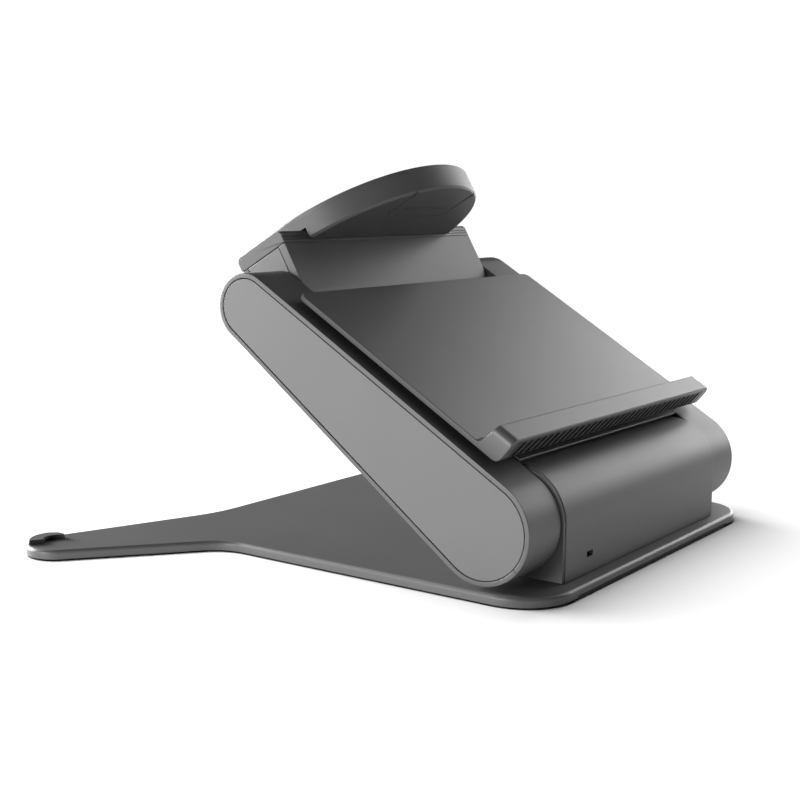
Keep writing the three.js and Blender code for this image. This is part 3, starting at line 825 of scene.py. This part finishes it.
def neck_core():
    low, high = HEAD.span("neck_core")
    core = prism(arch(high.y, high.z), rounded_edges(low.x, high.x, 0.6, 0.6), ALONG_X)
    bore = bar(UPPER_AXLE + CLEARANCE, -110, 110, along=ALONG_X, edge=0)
    return combined(core, [bore, bar(PUSHROD + CLEARANCE, 0, 44, edge=0)])


make("neck_rear_cover", neck_cover(1), HEAD, moulding)
make("neck_front_cover", neck_cover(-1), HEAD, moulding)
# The side panels are painted lighter, as painted light for the side light on them.
make_pair("neck_side_panel", neck_side_panel(), HEAD, sidelit_moulding)
make("neck_core", neck_core(), HEAD, alloy)
for side in ("right", "left"):
    low, high = HEAD.span(f"tilt_friction_pack_{side}")
    pack = tube(FRICTION_DISC, UPPER_AXLE + CLEARANCE, low.x, high.x, along=ALONG_X)
    make(f"tilt_friction_pack_{side}", pack, HEAD, steel)


# ---- head ----------------------------------------------------------------------------------------
bar_low, bar_high = HEAD.span("head_crossbar")
disc_low, disc_high = HEAD.span("disc_shell")
face_low, face_high = HEAD.span("disc_face_plate")
DISC_RADIUS = disc_high.x
DISC_Y = 4.1
DISC_BACK, DISC_FRONT = disc_low.z, face_high.z
DISC_FLOOR = 41.4
DISC_WALL = 4
DISC_SEAM = 0.06
DISPLAY_SPOTS = [(side * 50, DISC_Y + end * 50) for side in (-1, 1) for end in (-1, 1)]
DISPLAY_SCREW = 2.1
BOSS_RADIUS = 4.6
SINK_RADIUS = 3.4
LEVER_HALF = 32
LEVER_FOOT = 45.1
LEVER_CORNER = 6
LEVER_GAP = 0.2
LEVER_WALL = 3
LEVER_STEP = 64
LEVER_PIN = (51.1, 34.2)
LEVER_PIN_RADIUS = 1.2
GRIP_ENDS, GRIP_BAND, GRIP_DEPTH = (-22.5, 19.5), (54.5, 55.3), 2.4
EYELET, EYELET_RADIUS = (20.3, 54.4), 0.9
BACK_CHAMFER = 1.4
BAR_GROOVES = (1.8, 3.6)
GROOVE_HALF, GROOVE_DEPTH = 0.25, 0.5


def pin_bore():
    return bar(LEVER_PIN_RADIUS + CLEARANCE, -36, 36, *LEVER_PIN, ALONG_X, 0)


def pushrod_bore():
    return bar(PUSHROD + CLEARANCE, 25, 50, edge=0)


def display_bores(low):
    return gathered([bar(DISPLAY_SCREW, low, 60, x, y, edge=0) for x, y in DISPLAY_SPOTS])


def head_crossbar():
    half = bar_high.y
    grooves = []
    for level in BAR_GROOVES:
        z = bar_low.z + level
        grooves += [(half, z - GROOVE_HALF, 0), (half - GROOVE_DEPTH, z, 0), (half, z + GROOVE_HALF, 0)]
    profile = outline([(-half, bar_low.z, 1.5), (half, bar_low.z, 0.3), *grooves,
                       (half, bar_high.z, 4), (-half, bar_high.z, 3)])
    body = prism(profile, rounded_edges(bar_low.x, bar_high.x, 0.6, 0.6), ALONG_X)
    return combined(body, [pushrod_bore()])


def disc_outline():
    """The disc with a notch for the lever, and each point's share of the back chamfer."""
    reach = math.asin(LEVER_HALF / DISC_RADIUS)
    start, sweep = math.pi / 2 + reach, 2 * math.pi - 2 * reach
    rim = arc(0, DISC_Y, DISC_RADIUS, start, sweep, math.radians(2))
    notch = arc(LEVER_HALF - LEVER_CORNER, LEVER_FOOT + LEVER_CORNER, LEVER_CORNER, 0, -math.pi / 2,
                math.radians(9))
    points = [*rim, *notch, *[(-x, y) for x, y in reversed(notch)]]
    return points, [1] * len(rim) + [0.18] * (2 * len(notch))


def lever_outline():
    reach = math.asin((LEVER_HALF - LEVER_GAP) / DISC_RADIUS)
    rim = arc(0, DISC_Y, DISC_RADIUS, math.pi / 2 - reach, 2 * reach, math.radians(2))
    radius = LEVER_CORNER - LEVER_GAP
    foot = arc(LEVER_HALF - LEVER_CORNER, LEVER_FOOT + LEVER_CORNER, radius, -math.pi / 2,
               math.pi / 2, math.radians(9))
    points = [*rim, *[(-x, y) for x, y in reversed(foot)], *foot]
    return points, [1] * len(rim) + [0.18] * (2 * len(foot))


def back_edge(low):
    """Chamfer with softened shoulders where the rim meets the disc's back."""
    c = BACK_CHAMFER
    return [(c + 0.25, low), (c - 0.1, low + 0.05), (0.15, low + c - 0.15), (0, low + c + 0.25)]


def disc_shell():
    points, weights = disc_outline()
    rim = [(0, face_low.z - DISC_SEAM)]
    body = prism(points, back_edge(DISC_BACK) + rim, weights=weights)
    hollow = bar(DISC_RADIUS - DISC_WALL, DISC_FLOOR, 60, 0, DISC_Y, edge=0, sides=120)
    lever_wall = block((-LEVER_HALF - LEVER_WALL, LEVER_HALF + LEVER_WALL),
                       (LEVER_FOOT - LEVER_WALL, 100), (30, 70))
    hollow = combined(hollow, [lever_wall])
    bosses = [bar(BOSS_RADIUS, DISC_FLOOR - 1, 62, x, y, edge=0) for x, y in DISPLAY_SPOTS]
    hollow = combined(hollow, [gathered(bosses)])
    way = block((-90, 90), (bar_low.y - CLEARANCE, bar_high.y + CLEARANCE),
                (20, bar_high.z + CLEARANCE))
    return combined(body, [hollow, way, display_bores(43), pushrod_bore(), pin_bore()])


def face_plate():
    edges = rounded_edges(face_low.z, DISC_FRONT, 0, 0.9)
    plate = prism(circle(DISC_RADIUS, 0, DISC_Y, 180), edges)
    notch = block((-LEVER_HALF, LEVER_HALF), (DISC_Y + LEVER_STEP - CLEARANCE, 90), (40, 60))
    sink = [(1.4, DISC_FRONT - 1.6), (0, DISC_FRONT - 0.3), (0, 50)]
    sinks = [prism(circle(SINK_RADIUS, x, y), sink) for x, y in DISPLAY_SPOTS]
    return combined(plate, [notch, display_bores(40), gathered(sinks)])


def release_lever():
    points, weights = lever_outline()
    front = [(0, DISC_FRONT - 0.8), (0.25, DISC_FRONT - 0.25), (0.8, DISC_FRONT)]
    body = prism(points, back_edge(DISC_BACK) + front, weights=weights)
    under = block((-50, 50), (0, DISC_Y + LEVER_STEP), (face_low.z - 1, 60))
    groove = block(GRIP_ENDS, GRIP_BAND, (30, DISC_BACK + GRIP_DEPTH))
    eyelet = bar(EYELET_RADIUS, 30, DISC_BACK + GRIP_DEPTH, *EYELET, edge=0, sides=24)
    return combined(body, [under, groove, eyelet, pin_bore()])


make("head_crossbar", head_crossbar(), HEAD, coat)
make("disc_shell", disc_shell(), HEAD, moulding)
make("disc_face_plate", face_plate(), HEAD, coat)
make("release_lever", release_lever(), HEAD, moulding)
low, high = HEAD.span("lever_pin")
make("lever_pin", bar(LEVER_PIN_RADIUS, low.x, high.x, *LEVER_PIN, ALONG_X), HEAD, steel)
low, high = HEAD.span("brake_pushrod")
make("brake_pushrod", bar(PUSHROD, low.z, high.z), HEAD, steel)
for node in ("lever_leaf_spring", "release_slider"):
    keep(node, steel, 0.12)


# ---- studio --------------------------------------------------------------------------------------
MIDDLE = Vector((0, 0, 0.1))
EYE = Vector((0.7228, 0.47045, 0.2101))
LENS_MM, SENSOR_MM = 62.39, 36
AMBIENT, BACKDROP = 0.01, 1.05
FLOOR_REACH, FLOOR_DEPTH = 1.1, -0.00005


def camera():
    heading, pitch, roll = math.radians(124.861), math.radians(8.713), math.radians(0.688)
    back = Vector((math.sin(heading) * math.cos(pitch), -math.cos(heading) * math.cos(pitch),
                   math.sin(pitch)))
    aim = (-back).to_track_quat("-Z", "Y").to_matrix().to_4x4()
    lens = bpy.data.cameras.new("camera")
    lens.lens = LENS_MM
    lens.sensor_width = SENSOR_MM
    lens.clip_start, lens.clip_end = 0.01, 50
    eye = bpy.data.objects.new("camera", lens)
    place = Matrix.Translation(EYE)
    eye.matrix_world = place @ aim @ Matrix.Rotation(roll, 4, "Z")
    bpy.context.scene.collection.objects.link(eye)
    bpy.context.scene.camera = eye


def softbox(name, place, size, watts, lights):
    """A soft rectangular lamp aimed at the stand, kept to or off the floor by its light group."""
    lamp = bpy.data.lights.new(name, "AREA")
    lamp.shape = "RECTANGLE"
    lamp.size, lamp.size_y = size
    lamp.energy = watts
    box = bpy.data.objects.new(name, lamp)
    box.location = place
    box.rotation_mode = "QUATERNION"
    box.rotation_quaternion = (MIDDLE - Vector(place)).to_track_quat("-Z", "Y")
    bpy.context.scene.collection.objects.link(box)
    box.light_linking.receiver_collection = lights


def light_group(name, obj, state):
    """What a lamp lights: this object only, or all but this object."""
    group = bpy.data.collections.new(name)
    group.objects.link(obj)
    group.collection_objects[0].light_linking.link_state = state
    return group


def pale_floor():
    finish = Finish("studio_floor")
    mottle = finish.noise(400, 2, 0.5)
    white = finish.finished({
        "Base Color": finish.tint(mottle, (0.88, 0.88, 0.88), (0.9, 0.9, 0.9)),
        "Roughness": 0.85 + 0.05 * mottle,
        "Specular IOR Level": 0.2,
    })
    mesh = bpy.data.meshes.new("floor")
    rim = [(x, y, FLOOR_DEPTH) for x, y in circle(FLOOR_REACH, sides=96)]
    mesh.from_pydata(rim, [], [tuple(range(len(rim)))])
    mesh.materials.append(white)
    floor = bpy.data.objects.new("floor", mesh)
    bpy.context.scene.collection.objects.link(floor)
    floor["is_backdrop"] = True
    return floor


def room():
    """Even white backdrop, with a dimmer ambient for what it lights."""
    world = bpy.data.worlds.new("room")
    world.use_nodes = True
    nodes, links = world.node_tree.nodes, world.node_tree.links
    nodes.clear()
    ambient = nodes.new("ShaderNodeBackground")
    ambient.inputs["Strength"].default_value = AMBIENT
    seen = nodes.new("ShaderNodeBackground")
    seen.inputs["Strength"].default_value = BACKDROP
    for shade in (ambient, seen):
        shade.inputs["Color"].default_value = (1, 1, 1, 1)
    path = nodes.new("ShaderNodeLightPath")
    mix = nodes.new("ShaderNodeMixShader")
    out = nodes.new("ShaderNodeOutputWorld")
    links.new(path.outputs["Is Camera Ray"], mix.inputs["Fac"])
    links.new(ambient.outputs[0], mix.inputs[1])
    links.new(seen.outputs[0], mix.inputs[2])
    links.new(mix.outputs[0], out.inputs["Surface"])
    bpy.context.scene.world = world


camera()
floor = pale_floor()
room()
all_but_floor = light_group("all_but_floor", floor, "EXCLUDE")
floor_alone = light_group("floor_alone", floor, "INCLUDE")
softbox("front_box", (0.3, -2.0, 0.5), (1.2, 0.8), 172, all_but_floor)
softbox("front_top_box", (0, -1.4, 1.4), (1.4, 1.0), 5.4, all_but_floor)
softbox("side_box", (1.9, -0.3, 0.35), (0.8, 0.6), 28, all_but_floor)
softbox("far_low_box", (-2.0, 0.1, 0.3), (1.2, 0.5), 19, all_but_floor)
softbox("far_box", (-1.8, 0.3, 0.8), (1.4, 1.0), 16, all_but_floor)
softbox("far_top_box", (-1.2, 0.6, 1.5), (1.0, 1.0), 3, all_but_floor)
softbox("floor_box", (0.1, -1.5, 2.4), (3.4, 3.4), 215, floor_alone)
bpy.context.scene.view_settings.view_transform = "Standard"

low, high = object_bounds()
